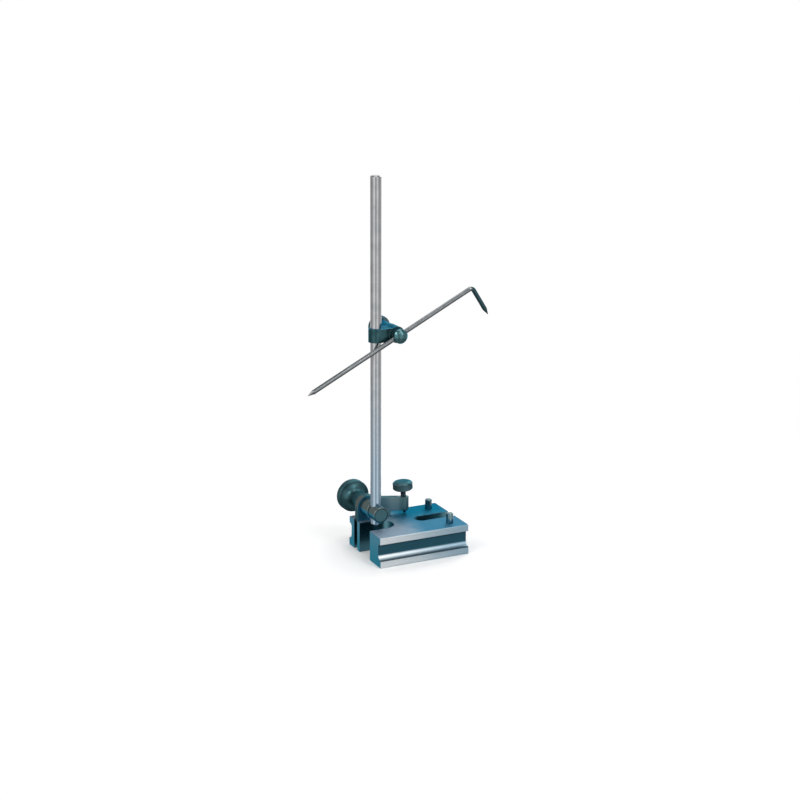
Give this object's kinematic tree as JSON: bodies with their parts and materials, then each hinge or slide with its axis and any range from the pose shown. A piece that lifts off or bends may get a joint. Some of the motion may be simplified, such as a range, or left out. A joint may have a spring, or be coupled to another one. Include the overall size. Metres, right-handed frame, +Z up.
{
  "type": "surface gauge",
  "caption": "Surface gauge with a slotted steel base, rocking bracket, fine-adjusting screw, swivelling spindle and a sliding clamp that holds a bent scriber.",
  "frame": {"origin": "middle of the base on the plane it rests on, in the mouth of the V-groove along its bottom", "axes": "+Z up along the spindle, +X along the base from the spindle's end to the open end slot, +Y across the base from the swivel bolt's head to the spindle clamp nut"},
  "size_m": [0.1701, 0.0865, 0.3337],
  "materials": {
    "ground_base": "ground, with polished lands",
    "bright_steel": "polished",
    "black_oxide": "black oxide, lightly oiled",
    "spring_steel": "plain wire"
  },
  "bodies": {
    "base": {"base": "ground_base", "bracket_pivot_pin": "bright_steel", "guide_spring_near": "spring_steel", "guide_spring_far": "spring_steel", "bracket_spring": "spring_steel"},
    "guide_near": {"guide_pin_near": "bright_steel"},
    "guide_far": {"guide_pin_far": "bright_steel"},
    "bracket": {"rocking_bracket": "black_oxide"},
    "screw": {"fine_adjust_screw": "bright_steel"},
    "adjust_knob": {"fine_adjust_knob": "black_oxide"},
    "swivel": {"swivel_bolt": "black_oxide", "swivel_sleeve": "black_oxide", "clamp_washer": "bright_steel"},
    "clamp_nut": {"spindle_clamp_nut": "black_oxide"},
    "spindle": {"spindle": "bright_steel"},
    "snug": {"snug_clamp": "black_oxide"},
    "scriber_holder": {"snug_bolt": "black_oxide", "snug_sleeve": "black_oxide", "snug_washer": "bright_steel"},
    "snug_nut": {"snug_nut": "black_oxide"},
    "scriber": {"scriber": "bright_steel"}
  },
  "joints": [
    {"name": "bracket_rock", "type": "hinge", "parent": "base", "child": "bracket", "pos_m": [-0.02685, 0.01935, 0.015], "axis": [0, -1, 0], "range_deg": [-3, 3], "deforming": ["bracket_spring"]},
    {"name": "screw_travel", "type": "slide", "parent": "bracket", "child": "screw", "axis": [0.0785, 0, -0.9969], "range_m": [-0.0018, 0.0018]},
    {"name": "adjust_knob_turn", "type": "hinge", "parent": "screw", "child": "adjust_knob", "pos_m": [0.00545, 0.01935, 0.027], "axis": [0.0785, 0, -0.9969], "range_deg": [-780, 780]},
    {"name": "spindle_swivel", "type": "hinge", "parent": "bracket", "child": "swivel", "pos_m": [-0.03205, 0, 0.0397], "axis": [0, 1, 0], "range_deg": [-180, 90]},
    {"name": "clamp_nut_turn", "type": "hinge", "parent": "swivel", "child": "clamp_nut", "pos_m": [-0.03205, 0.03, 0.0397], "axis": [0, 1, 0], "range_deg": [0, 360]},
    {"name": "spindle_turn", "type": "hinge", "parent": "swivel", "child": "spindle", "pos_m": [-0.03205, 0, 0.0397], "axis": [0, 0, 1], "continuous": true},
    {"name": "snug_slide", "type": "slide", "parent": "spindle", "child": "snug", "axis": [0, 0, -1], "range_m": [-0.12, 0.104]},
    {"name": "scriber_swing", "type": "hinge", "parent": "snug", "child": "scriber_holder", "pos_m": [-0.01515, 0, 0.1986], "axis": [0, 1, 0], "continuous": true},
    {"name": "snug_nut_turn", "type": "hinge", "parent": "scriber_holder", "child": "snug_nut", "pos_m": [-0.01515, 0.02, 0.1986], "axis": [0, 1, 0], "range_deg": [0, 360]},
    {"name": "scriber_slide", "type": "slide", "parent": "scriber_holder", "child": "scriber", "axis": [-0.8878, 0, -0.4602], "range_m": [-0.085, 0.068]},
    {"name": "guide_near_slide", "type": "slide", "parent": "base", "child": "guide_near", "axis": [0, 0, 1], "range_m": [-0.0075, 0]},
    {"name": "guide_far_slide", "type": "slide", "parent": "base", "child": "guide_far", "axis": [0, 0, 1], "range_m": [-0.0075, 0]}
  ],
  "couplings": [
    {"joint": "screw_travel", "follows": "bracket_rock", "m_per_rad": 0.0324},
    {"joint": "adjust_knob_turn", "follows": "bracket_rock", "ratio": 254.47}
  ]
}
